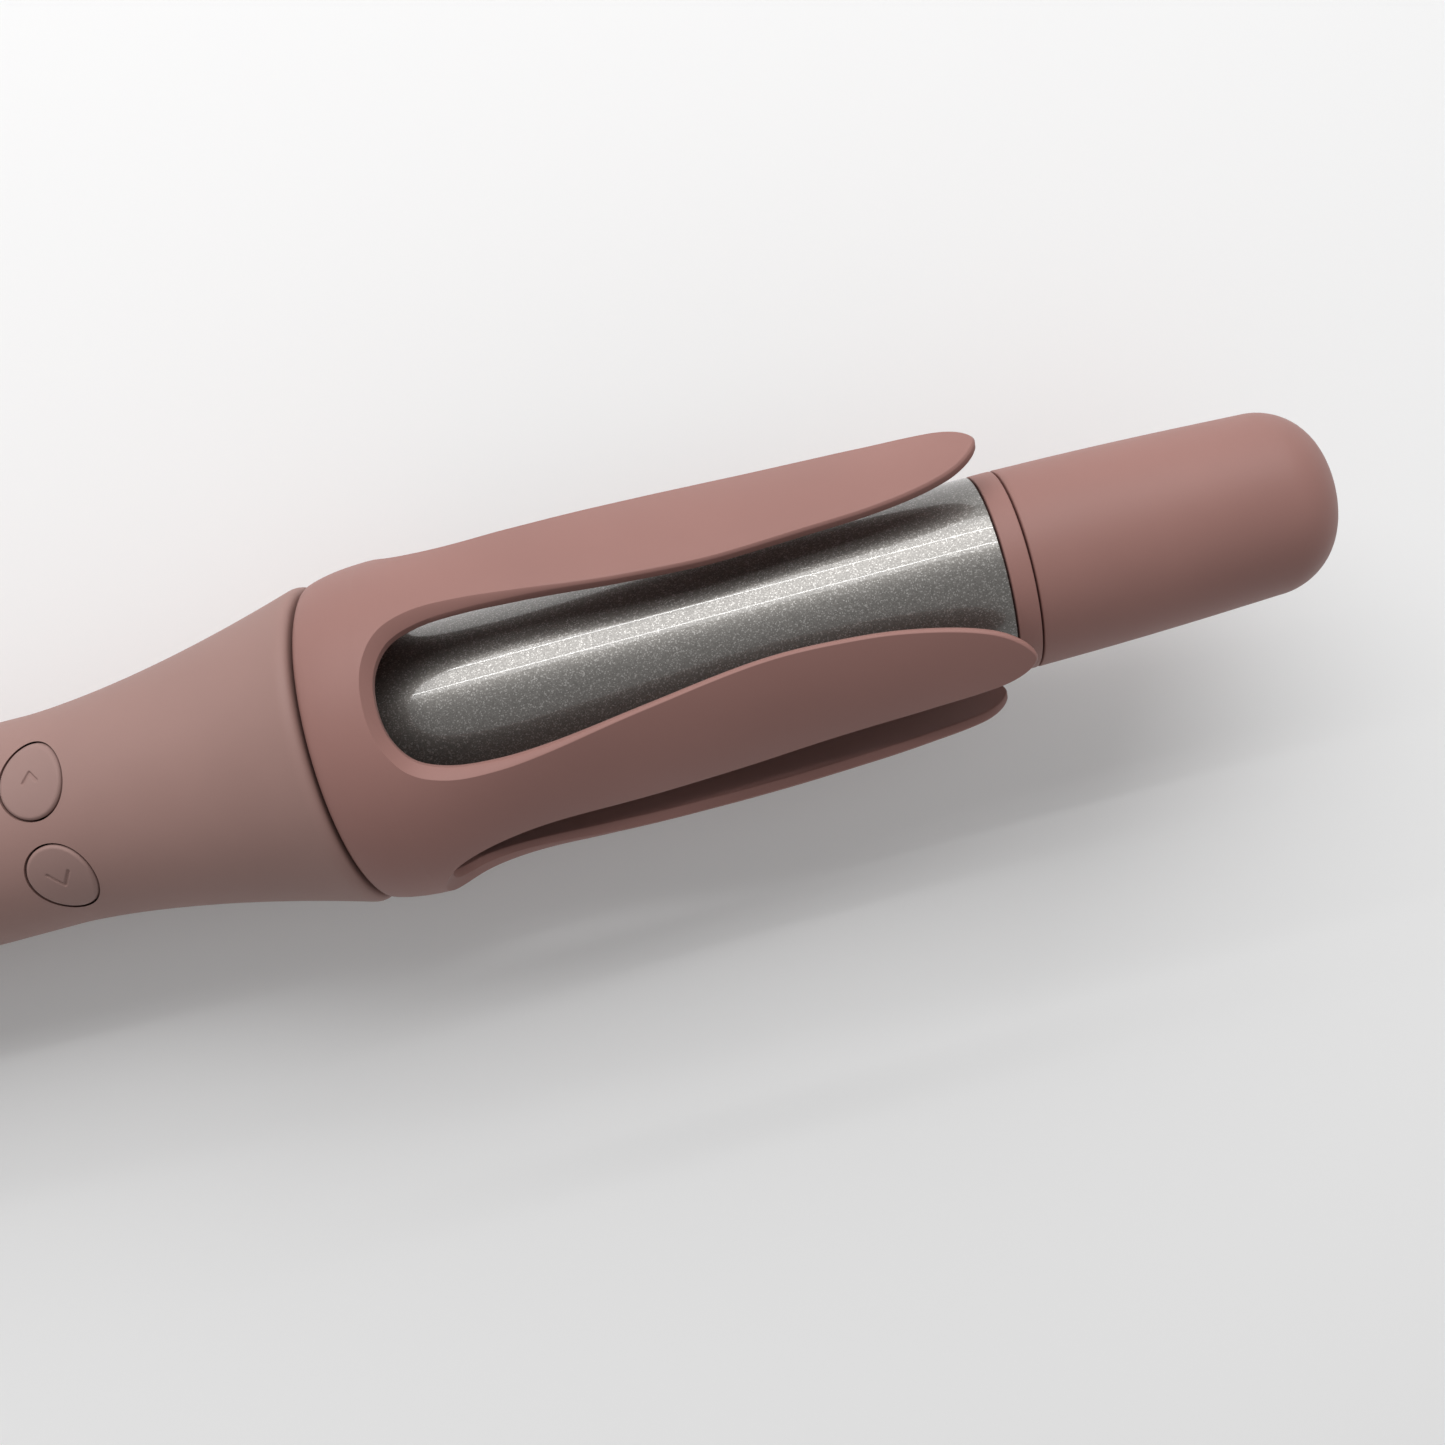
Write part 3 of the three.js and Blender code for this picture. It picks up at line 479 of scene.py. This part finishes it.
def end_cap(material):
    shoulder = CAP_END + CAP_ROUND
    rounding = arc((shoulder, WAIST - CAP_ROUND), CAP_ROUND, 90, 180, 8)
    outline = [(HEEL - 0.3, WAIST)] + rounding
    outline += [(CAP_END, CAP_BORE + 0.35), (CAP_END + 0.1, CAP_BORE + 0.1), (CAP_END + 0.35, CAP_BORE)]
    outline += [(HEEL + 1, CAP_BORE), (HEEL + 1, 11.5), (HEEL + 8, 11.5), (HEEL + 8, 14.4), (HEEL - 0.3, 14.4)]
    points, faces = turned(outline, 160)
    return add_piece("end_cap", points, faces, "handle", "handle_plastic", material, ["end_cap"])


def swivel_gland(material):
    """The swivelling ring round the cord, with a shallow groove in its face."""
    outline = [(-166.6, 3.9), (-166.3, 3.65), (-165.9, 3.6), (-144, 3.6), (-144, 5.6)]
    outline += [(-159.3, 5.6), (-159.3, 11.1), (-161.7, 11.1), (-161.7, 9.1)]
    outline += arc((-166.1, 8.6), 0.5, 90, 180, 4)
    outline += [(-166.6, 7.6), (-166.35, 7.3), (-166.35, 6.6), (-166.6, 6.3), (-166.6, 4.4)]
    points, faces = turned(outline, 96)
    return add_piece("swivel_gland", points, faces, "gland", "black_plastic", material, ["swivel_gland"])


# ---- barrel and tip ----
def barrel(material):
    outline = [(BARREL_START, 14.9), (BARREL_START, 15.6), (BARREL_START + 0.1, 15.85)]
    outline += [(BARREL_START + 0.4, BARREL_RADIUS)]
    outline += line((BARREL_START + 2, BARREL_RADIUS), (BARREL_END - 0.5, BARREL_RADIUS), 24)
    outline += [(BARREL_END - 0.1, 15.95)]
    outline += [(BARREL_END, 15.85), (BARREL_END, 14.9)]
    points, faces = turned(outline)
    return add_piece("barrel", points, faces, "handle", "barrel_coating", material, ["barrel"])


def tip_collar(material):
    rear, front = COLLAR_START + 0.25, COLLAR_END - 0.25
    outline = [(COLLAR_START, 12.2), (COLLAR_START, 15.75), *arc((rear, 15.75), 0.25, 180, 90, 3)]
    outline += [(front, BARREL_RADIUS), *arc((front, 15.75), 0.25, 90, 0, 3), (COLLAR_END, 12.2)]
    points, faces = turned(outline)
    return add_piece("tip_collar", points, faces, "handle", "cage_plastic", material, ["tip_collar"])


TIP_PROFILE = through([
    (TIP_START, BARREL_RADIUS), (TIP_START + 12, 15.75), (TIP_START + 25, 15.3),
    (TIP_END - TIP_ROUND, TIP_RADIUS),
])


def cool_tip(material):
    nose = TIP_END - TIP_ROUND
    outline = [(TIP_START, 13.0), (TIP_START, 15.7), *arc((TIP_START + 0.3, 15.7), 0.3, 180, 90, 3)[1:]]
    outline += [(x, float(TIP_PROFILE(x))) for x in np.linspace(TIP_START + 1, nose - 0.6, 24)]
    outline += arc((nose, TIP_RADIUS - TIP_ROUND), TIP_ROUND, 90, 0, 20)
    outline += [(TIP_END, r) for r in (3.4, 1.8, 0.7, 0)]
    outline += [(TIP_END - 4, 0), (TIP_END - 4, 5), (TIP_END - 9, 11), (TIP_START + 28, 12.6)]
    points, faces = turned(outline)
    return add_piece("cool_tip", points, faces, "handle", "cage_plastic", material, ["cool_tip"])


# ---- petal cage ----
CAGE_OUTER = through([
    (0.3, 25.1), (0.75, 25.75), (1.6, 26.15), (5, 26.85), (10, 27.2), (18, 26.95), (26, 26.4), (40, 25.6),
    (55, 24.7), (65, 24.15), (75, 23.8), (90, 23.6), (98, 23.9), (105.8, 24.6),
])
CAGE_WALL = through([(0.3, 2.2), (3.2, 3.0), (12, 3.2), (26, 2.6), (50, 1.9), (105.8, 1.7)])
WINDOW_SIDE = [
    (11.3, 0), (12.1, 5.2), (14.6, 9.1), (19, 11.2), (26, 12.1), (34, 11.9), (50, 10.3), (64.7, 9.35),
    (79, 10.0), (88, 10.9), (97.4, 12.9), (101.9, 14.8), (104.8, 17.4), (105.8, FLAT_RADIUS * math.pi / PETALS),
]
PETAL_FLAT, PETAL_LEAN = (0.35, 11.3, 42.0), (0.155, 11.3, 34.0)  # amount, and the x it grows over
PETAL_SWEEP = through([
    (0.3, 0), (11.3, 0), (30, 0.9), (48, 1.9), (60, 3.2), (72, 4.8), (84, 4.8), (105.8, 2.5),
])
BEVEL_ROOT, BEVEL_SIDE, BEVEL_FADE = (1.4, 1.8), (0.4, 0.45), (12, 46)


def smoothstep(x, low, high):
    t = np.clip((np.asarray(x, float) - low) / (high - low), 0, 1)
    return t * t * (3 - 2 * t)


def petal_point(x, half, radius, column, centre):
    """The point at column (-1 to 1) across a petal: flattened towards its chord, leaning so that its
    far edge stands out, and swept round the axis."""
    turn = column * half
    flat = 1 - PETAL_FLAT[0] * smoothstep(x, *PETAL_FLAT[1:]) * (1 - np.cos(half) / np.cos(turn))
    lean = 1 + PETAL_LEAN[0] * smoothstep(x, *PETAL_LEAN[1:]) * turn
    return polar(x, radius * flat * lean, centre + np.radians(PETAL_SWEEP(x)) + turn)


def centripetal(points, count):
    """Smooth run through points whose first and last are only guides."""
    points = np.array(points, float)
    runs = []
    for k in range(1, len(points) - 2):
        p0, p1, p2, p3 = points[k - 1:k + 3]
        gaps = [max(np.linalg.norm(b - a), 1e-6) ** 0.5 for a, b in ((p0, p1), (p1, p2), (p2, p3))]
        m1 = (p2 - p1) + gaps[1] * ((p1 - p0) / gaps[0] - (p2 - p0) / (gaps[0] + gaps[1]))
        m2 = (p2 - p1) + gaps[1] * ((p3 - p2) / gaps[2] - (p3 - p1) / (gaps[1] + gaps[2]))
        t = np.linspace(0, 1, count, endpoint=False)[:, None]
        run = (2 * t**3 - 3 * t**2 + 1) * p1 + (t**3 - 2 * t**2 + t) * m1
        runs.append(run + (3 * t**2 - 2 * t**3) * p2 + (t**3 - t**2) * m2)
    return np.concatenate([*runs, points[-2:-1]])


def window_edge(count):
    """Even points along a window's side, with the direction into the petal's material."""

    def mirror(centre, p):
        return p[0], 2 * centre - p[1]

    guides = [mirror(0, WINDOW_SIDE[1]), *WINDOW_SIDE, mirror(WINDOW_SIDE[-1][1], WINDOW_SIDE[-2])]
    fine = centripetal(guides, 40)
    run = np.concatenate([[0], np.cumsum(np.linalg.norm(np.diff(fine, axis=0), axis=1))])
    even = np.linspace(0, 1, count + 1)
    even = run[-1] * (even - 0.09 * np.sin(2 * np.pi * even))  # closer together at both round ends
    edge = np.stack([np.interp(even, run, fine[:, k]) for k in (0, 1)], 1)
    along = np.gradient(edge, axis=0)
    along[0] = along[-1] = (0, 1)
    along /= np.linalg.norm(along, axis=1)[:, None]
    return edge, np.stack([-along[:, 1], along[:, 0]], 1)


def cage_layers(edge, inward):
    """Rows along a petal's edge, from the outer surface over the rounding and down the wall to the
    inner surface. Each is x, half the petal's angle, and radius."""
    quarter = math.pi / PETALS
    fade = 1 - smoothstep(edge[:, 0], *BEVEL_FADE)
    reach = BEVEL_SIDE[0] + (BEVEL_ROOT[0] - BEVEL_SIDE[0]) * fade
    depth = BEVEL_SIDE[1] + (BEVEL_ROOT[1] - BEVEL_SIDE[1]) * fade
    power = 1.3 - 0.28 * fade  # 1 is a flat bevel, 2 a round edge

    def moved(distance):
        at = edge + inward * np.asarray(distance)[..., None]
        return at[:, 0], np.clip(quarter - at[:, 1] / FLAT_RADIUS, 0, None)

    layers = []
    for turn in np.radians(np.linspace(0, 90, 8)):
        x, half = moved(reach * (1 - np.sin(turn) ** (2 / power)))
        layers.append((x, half, CAGE_OUTER(x) - depth * (1 - np.cos(turn) ** (2 / power))))
    for back, lift in ((0.0, 0.35), (0.1, 0.1), (0.35, 0.0)):
        x, half = moved(np.full(len(edge), back))
        layers.append((x, half, CAGE_OUTER(x) - CAGE_WALL(x) + lift))
    return layers


def petal_sheets(layers):
    """The outer surface with its part of the ring, the inner surface, and the ring's rear face: x,
    half angle and radius by row, and whether the sheet faces inwards."""
    quarter = math.pi / PETALS
    outer, inner = layers[0], layers[-1]

    def with_ring(ring_x, radius, rows):
        whole = np.full(len(ring_x), quarter)
        return [np.append(a, b) for a, b in zip((ring_x, whole, radius), rows)]

    ring_x = np.array([0.3, 0.4, 0.55, 0.75, 1.05, 1.6, 2.4, 3.4, 4.6, 5.8, 7.0, 8.0])
    inner_x = np.array([0.3, 3.0, 6.0, 8.5, 10.2])
    rear = np.array([CAGE_OUTER(0.3) - CAGE_WALL(0.3), CAGE_OUTER(0.3)])
    return [
        (*with_ring(ring_x, CAGE_OUTER(ring_x), outer), False),
        (*with_ring(inner_x, CAGE_OUTER(inner_x) - CAGE_WALL(inner_x), inner), True),
        (np.full(2, 0.3), np.full(2, quarter), rear, False),
    ]


def petal_cage(material):
    edge, inward = window_edge(150)
    layers = cage_layers(edge, inward)
    spread = np.linspace(-1, 1, 41)
    columns = 0.65 * spread + 0.35 * np.sin(spread * np.pi / 2)
    points, faces = [], []

    def add(rows, width, flip):
        made = grid_faces(len(rows) // width, width, start=len(points))
        points.extend(rows)
        faces.extend(f[::-1] if flip else f for f in made)

    for petal in range(PETALS):
        centre = math.radians(WINDOW_TURN + 45 + 90 * petal)
        for x, half, radius, flip in petal_sheets(layers):
            made = petal_point(x[:, None], half[:, None], radius[:, None], columns[None, :], centre)
            add(made.reshape(-1, 3), len(columns), flip)
        for side in (-1, 1):
            rows = [petal_point(x, half, radius, side, centre) for x, half, radius in layers]
            add(np.concatenate(rows), len(edge), side > 0)
    floor = turned([(0.35, 12), (3.2, 12), (3.2, 23.95), (0.35, 23.2)], 160)
    points, faces = joined([(np.array(points), faces), floor])
    return add_piece("petal_cage", points, faces, "cage", "cage_plastic", material, ["petal_cage"], sharp=30)


# ---- materials ----
def new_material(name):
    material = bpy.data.materials.new(name)
    material.use_nodes = True
    tree = material.node_tree
    return material, tree, tree.nodes["Principled BSDF"]


def node(tree, kind, inputs=None, **settings):
    made = tree.nodes.new(kind)
    for key, value in settings.items():
        setattr(made, key, value)
    for key, value in (inputs or {}).items():
        if isinstance(value, bpy.types.NodeSocket):
            tree.links.new(value, made.inputs[key])
        else:
            made.inputs[key].default_value = value
    return made


def noise(tree, scale, detail=3, roughness=0.5):
    where = node(tree, "ShaderNodeTexCoord").outputs["Object"]
    settings = {"Vector": where, "Scale": scale, "Detail": detail, "Roughness": roughness}
    return node(tree, "ShaderNodeTexNoise", settings).outputs["Fac"]


def ramp(tree, factor, stops):
    made = node(tree, "ShaderNodeValToRGB", {"Fac": factor})
    elements = made.color_ramp.elements
    while len(elements) < len(stops):
        elements.new(0.5)
    for element, (position, color) in zip(elements, stops):
        element.position = position
        element.color = (*color, 1)
    return made.outputs["Color"]


def spread(tree, factor, low, high):
    return node(tree, "ShaderNodeMapRange", {"Value": factor, "To Min": low, "To Max": high}).outputs["Result"]


def moulded_plastic(name, color, roughness, grain=2600, bump=0.06, variation=0.05):
    """Matte moulded plastic: fine spark-eroded grain and faint cloudy changes of tone and gloss."""
    material, tree, shader = new_material(name)
    cloud = noise(tree, 35, 4)
    speck = noise(tree, 900, 2)
    darker = tuple(c * (1 - variation) for c in color)
    lighter = tuple(min(1, c * (1 + variation)) for c in color)
    tone = ramp(tree, cloud, [(0.3, darker), (0.7, lighter)])
    share = spread(tree, speck, 0.0, 0.12)
    mixed = node(tree, "ShaderNodeMixRGB", {"Fac": share, "Color1": tone, "Color2": (*darker, 1)})
    tree.links.new(mixed.outputs["Color"], shader.inputs["Base Color"])
    shader.inputs["Specular IOR Level"].default_value = 0.25
    rough = spread(tree, noise(tree, 140, 3), roughness - 0.05, roughness + 0.06)
    tree.links.new(rough, shader.inputs["Roughness"])
    height = noise(tree, grain, 2, 0.6)
    relief = node(tree, "ShaderNodeBump", {"Height": height, "Strength": bump, "Distance": 0.0001})
    tree.links.new(relief.outputs["Normal"], shader.inputs["Normal"])
    return material


def barrel_coating(name):
    """Champagne ceramic coating over metal, full of fine flakes that each catch the light differently."""
    material, tree, shader = new_material(name)
    where = node(tree, "ShaderNodeTexCoord").outputs["Object"]
    flakes = node(tree, "ShaderNodeTexVoronoi", {"Vector": where, "Scale": 6000.0})
    shade = node(tree, "ShaderNodeSeparateColor", {"Color": flakes.outputs["Color"]})
    dull, plain, bright = (0.15, 0.142, 0.131), (0.21, 0.2, 0.187), (0.42, 0.407, 0.388)
    tone = ramp(tree, shade.outputs["Red"], [(0.0, dull), (0.8, plain), (1.0, bright)])
    tree.links.new(tone, shader.inputs["Base Color"])
    shader.inputs["Metallic"].default_value = 0.75
    tree.links.new(spread(tree, shade.outputs["Green"], 0.31, 0.43), shader.inputs["Roughness"])
    tilt = {"Height": shade.outputs["Blue"], "Strength": 0.1, "Distance": 0.00003}
    relief = node(tree, "ShaderNodeBump", tilt)
    tree.links.new(relief.outputs["Normal"], shader.inputs["Normal"])
    shader.inputs["Coat Weight"].default_value = 1.0
    shader.inputs["Coat Roughness"].default_value = 0.03
    return material


def metal(name, color, roughness, streak=(1, 1, 1), scale=900):
    """Bare metal with fine working marks; streak stretches them."""
    material, tree, shader = new_material(name)
    where = node(tree, "ShaderNodeTexCoord").outputs["Object"]
    moved = node(tree, "ShaderNodeMapping", {"Vector": where, "Scale": streak}).outputs["Vector"]
    marks = node(tree, "ShaderNodeTexNoise", {"Vector": moved, "Scale": scale, "Detail": 3.0}).outputs["Fac"]
    tone = ramp(tree, marks, [(0.3, tuple(c * 0.85 for c in color)), (0.7, color)])
    tree.links.new(tone, shader.inputs["Base Color"])
    shader.inputs["Metallic"].default_value = 1.0
    tree.links.new(spread(tree, marks, roughness - 0.08, roughness + 0.1), shader.inputs["Roughness"])
    relief = node(tree, "ShaderNodeBump", {"Height": marks, "Strength": 0.15, "Distance": 0.00005})
    tree.links.new(relief.outputs["Normal"], shader.inputs["Normal"])
    return material


def gloss_window(name):
    """Glossy black glass with faint smears."""
    material, tree, shader = new_material(name)
    smear = noise(tree, 90, 4)
    tone = ramp(tree, smear, [(0.3, (0.006, 0.006, 0.007)), (0.8, (0.014, 0.014, 0.016))])
    tree.links.new(tone, shader.inputs["Base Color"])
    tree.links.new(spread(tree, smear, 0.04, 0.14), shader.inputs["Roughness"])
    return material


PINK = (0.282, 0.146, 0.127)
PINK_HANDLE = (0.296, 0.178, 0.157)
looks = {
    "cage_plastic": moulded_plastic("cage_plastic", PINK, 0.5),
    "handle_plastic": moulded_plastic("handle_plastic", PINK_HANDLE, 0.56),
    "button_rubber": moulded_plastic("button_rubber", (0.287, 0.18, 0.161), 0.62, grain=1800, bump=0.1),
    "barrel_coating": barrel_coating("barrel_coating"),
    "black_plastic": moulded_plastic("black_plastic", (0.012, 0.012, 0.013), 0.5, variation=0.2),
    "display_glass": gloss_window("display_glass"),
    "board": moulded_plastic("board", (0.01, 0.09, 0.035), 0.35, grain=900, variation=0.15),
    "steel": metal("steel", (0.62, 0.63, 0.64), 0.3),
    "brass": metal("brass", (0.75, 0.55, 0.22), 0.3),
    "aluminium": metal("aluminium", (0.72, 0.73, 0.74), 0.38, streak=(0.05, 1, 1)),
    "acetal": moulded_plastic("acetal", (0.8, 0.78, 0.72), 0.4, variation=0.03),
    "insulator": moulded_plastic("insulator", (0.035, 0.031, 0.028), 0.65, variation=0.2),
    "lead_sleeve": moulded_plastic("lead_sleeve", (0.7, 0.66, 0.58), 0.85, grain=1500, bump=0.5),
}


# ---- camera and light ----
def add_camera():
    """The photograph's viewing angle: above the windowed side of the barrel, close, and rolled so
    that the device climbs from lower left to upper right."""
    reach, along = 229.4, 64.7
    facing = math.radians(4.5)  # the view is turned this far from +Z towards +Y
    back = np.array([0, math.sin(facing), math.cos(facing)])
    above = np.array([0, math.cos(facing), -math.sin(facing)])
    ahead = np.array([1.0, 0, 0])
    yaw, pitch, roll = (math.radians(v) for v in (-1.60, -2.99, -14.64))
    level = math.sin(yaw) * ahead - math.cos(yaw) * back
    forward = math.cos(pitch) * level + math.sin(pitch) * above
    right = math.cos(yaw) * ahead + math.sin(yaw) * back
    up = np.cross(right, forward)
    rolled_right = math.cos(roll) * right + math.sin(roll) * up
    rolled_up = math.cos(roll) * up - math.sin(roll) * right
    rotation = np.stack([v @ BASIS for v in (rolled_right, rolled_up, -forward)], 1)
    data = bpy.data.cameras.new("camera")
    data.sensor_width = 36.0
    data.lens = 35.6
    data.clip_start = 0.005
    camera = bpy.data.objects.new("camera", data)
    place = to_row(np.array([along, 0, 0]) + back * reach)
    camera.matrix_world = Matrix.Translation(Vector(place)) @ Matrix(rotation.tolist()).to_4x4()
    bpy.context.scene.collection.objects.link(camera)
    bpy.context.scene.camera = camera


def area_light(name, at, aim, size, power):
    data = bpy.data.lights.new(name, "AREA")
    data.shape = "RECTANGLE"
    data.size, data.size_y = size
    data.energy = power
    light = bpy.data.objects.new(name, data)
    light.location = at
    light.rotation_euler = (Vector(aim) - Vector(at)).to_track_quat("-Z", "Y").to_euler()
    bpy.context.scene.collection.objects.link(light)


def add_stage():
    mesh = bpy.data.meshes.new("floor")
    half = 12.0
    corners = [(-half, -half, 0), (half, -half, 0), (half, half, 0), (-half, half, 0)]
    mesh.from_pydata(corners, [], [(0, 1, 2, 3)])
    floor = bpy.data.objects.new("floor", mesh)
    bpy.context.scene.collection.objects.link(floor)
    floor.location.z = -0.0002
    material, tree, shader = new_material("pale_floor")
    shader.inputs["Base Color"].default_value = (0.9, 0.9, 0.9, 1)
    shader.inputs["Roughness"].default_value = 0.9
    mesh.materials.append(material)
    world = bpy.data.worlds.new("studio")
    world.use_nodes = True
    world.node_tree.nodes["Background"].inputs["Color"].default_value = (1, 1, 1, 1)
    world.node_tree.nodes["Background"].inputs["Strength"].default_value = 0.42
    bpy.context.scene.world = world
    bpy.context.scene.view_settings.view_transform = "Standard"
    bpy.context.scene.view_settings.look = "None"


def add_lights():
    """One broad panel beside the device and two thin tubes in front of it, placed by how far each
    is turned from +Z towards +Y."""
    middle = np.array((0.05, 0, 0.03))

    def beside(name, turn, reach, width, radiance):
        turn = math.radians(turn)
        at = middle + reach * np.array((0, math.sin(turn), math.cos(turn)))
        length = 1.7
        area_light(name, at, middle, (length, width), radiance * math.pi * length * width)

    beside("key_panel", 54, 1.1, 0.8, 2.9)
    beside("tube_upper", 39, 1.02, 0.016, 15.0)
    beside("tube_lower", 57, 1.02, 0.016, 15.0)


# ---- assembly ----
def finish_cad_nodes():
    """Every CAD node that still shows gets the look of its material slot."""
    slots = {part["node"]: part["material_slot"] for part in frame["record"]["subparts"]}
    for name, piece in frame["nodes"].items():
        piece.data.materials.clear()
        piece.data.materials.append(looks[slots[name]])


add_camera()
add_stage()
add_lights()
finish_cad_nodes()
shell("handle_upper_shell", 1, shell_holes(), looks["handle_plastic"])
shell("handle_lower_shell", -1, screw_holes(), looks["handle_plastic"])
MARKS = {
    "left_button": chevron(1.1, 0.1, 1.6), "right_button": chevron(1.7, 1.1, -1.3), "temp_up_button": plus_mark,
    "temp_down_button": minus_mark, "power_button": power_mark,
}
for name, spec in BUTTONS.items():
    slot_name = "button_rubber" if name in ("left_button", "right_button") else "handle_plastic"
    button(name, spec, (looks[slot_name], slot_name), MARKS[name])
display_lens(looks["display_glass"])
end_cap(looks["handle_plastic"])
swivel_gland(looks["black_plastic"])
barrel(looks["barrel_coating"])
tip_collar(looks["cage_plastic"])
cool_tip(looks["cage_plastic"])
petal_cage(looks["cage_plastic"])
